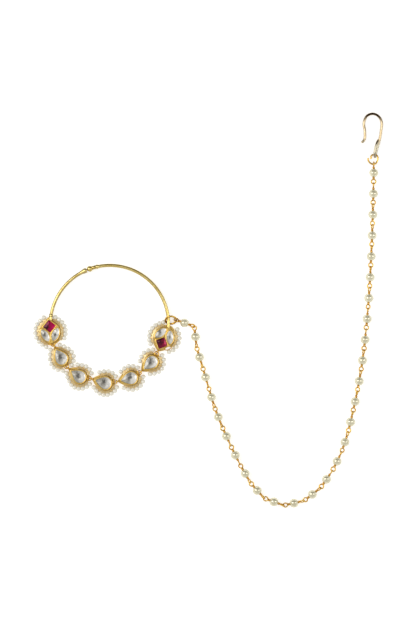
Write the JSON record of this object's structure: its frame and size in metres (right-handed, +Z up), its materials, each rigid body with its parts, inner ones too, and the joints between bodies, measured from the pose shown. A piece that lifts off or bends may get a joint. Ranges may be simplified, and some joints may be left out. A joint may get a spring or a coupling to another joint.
{
  "type": "nath nose ring",
  "caption": "Gold nath nose ring: a split hoop with a string of haloed kundan settings, a wired pearl chain and a hair hook, laid flat.",
  "frame": {"origin": "on the surface that the piece lies on, in the middle of its outline", "axes": "+Z up from the surface to the stones' faces, +Y along the hair chain's free end to the hook, +X from the hoop to the chain"},
  "size_m": [0.126, 0.1423, 0.0035],
  "materials": {
    "hoop_gold": "polished",
    "link_gold": "polished",
    "hook_gold": "polished",
    "foiled_crystal": "polished",
    "ruby": "polished",
    "seed_pearl": "satin",
    "cream_pearl": "glossy"
  },
  "bodies": {
    "root": {"hair_hook": "hook_gold", "hook_jump_ring": "link_gold", "hoop_jump_ring": "link_gold", "hoop_left": "hoop_gold", "hoop_right": "hoop_gold", "marquise_left_1": "foiled_crystal", "marquise_left_2": "foiled_crystal", "marquise_right_1": "foiled_crystal", "marquise_right_2": "foiled_crystal", "pear_setting_1": "hoop_gold", "pear_setting_2": "hoop_gold", "pear_setting_3": "hoop_gold", "pear_setting_4": "hoop_gold", "pear_setting_5": "hoop_gold", "pear_stone_1": "foiled_crystal", "pear_stone_2": "foiled_crystal", "pear_stone_3": "foiled_crystal", "pear_stone_4": "foiled_crystal", "pear_stone_5": "foiled_crystal", "pearl_chain": "cream_pearl", "ruby_left": "ruby", "ruby_right": "ruby", "seed_pearls_1_inner": "seed_pearl", "seed_pearls_1_outer": "seed_pearl", "seed_pearls_2_inner": "seed_pearl", "seed_pearls_2_outer": "seed_pearl", "seed_pearls_3_inner": "seed_pearl", "seed_pearls_3_outer": "seed_pearl", "seed_pearls_4_inner": "seed_pearl", "seed_pearls_4_outer": "seed_pearl", "seed_pearls_5_inner": "seed_pearl", "seed_pearls_5_outer": "seed_pearl", "seed_pearls_left_1": "seed_pearl", "seed_pearls_left_2": "seed_pearl", "seed_pearls_right_1": "seed_pearl", "seed_pearls_right_2": "seed_pearl"}
  },
  "joints": []
}
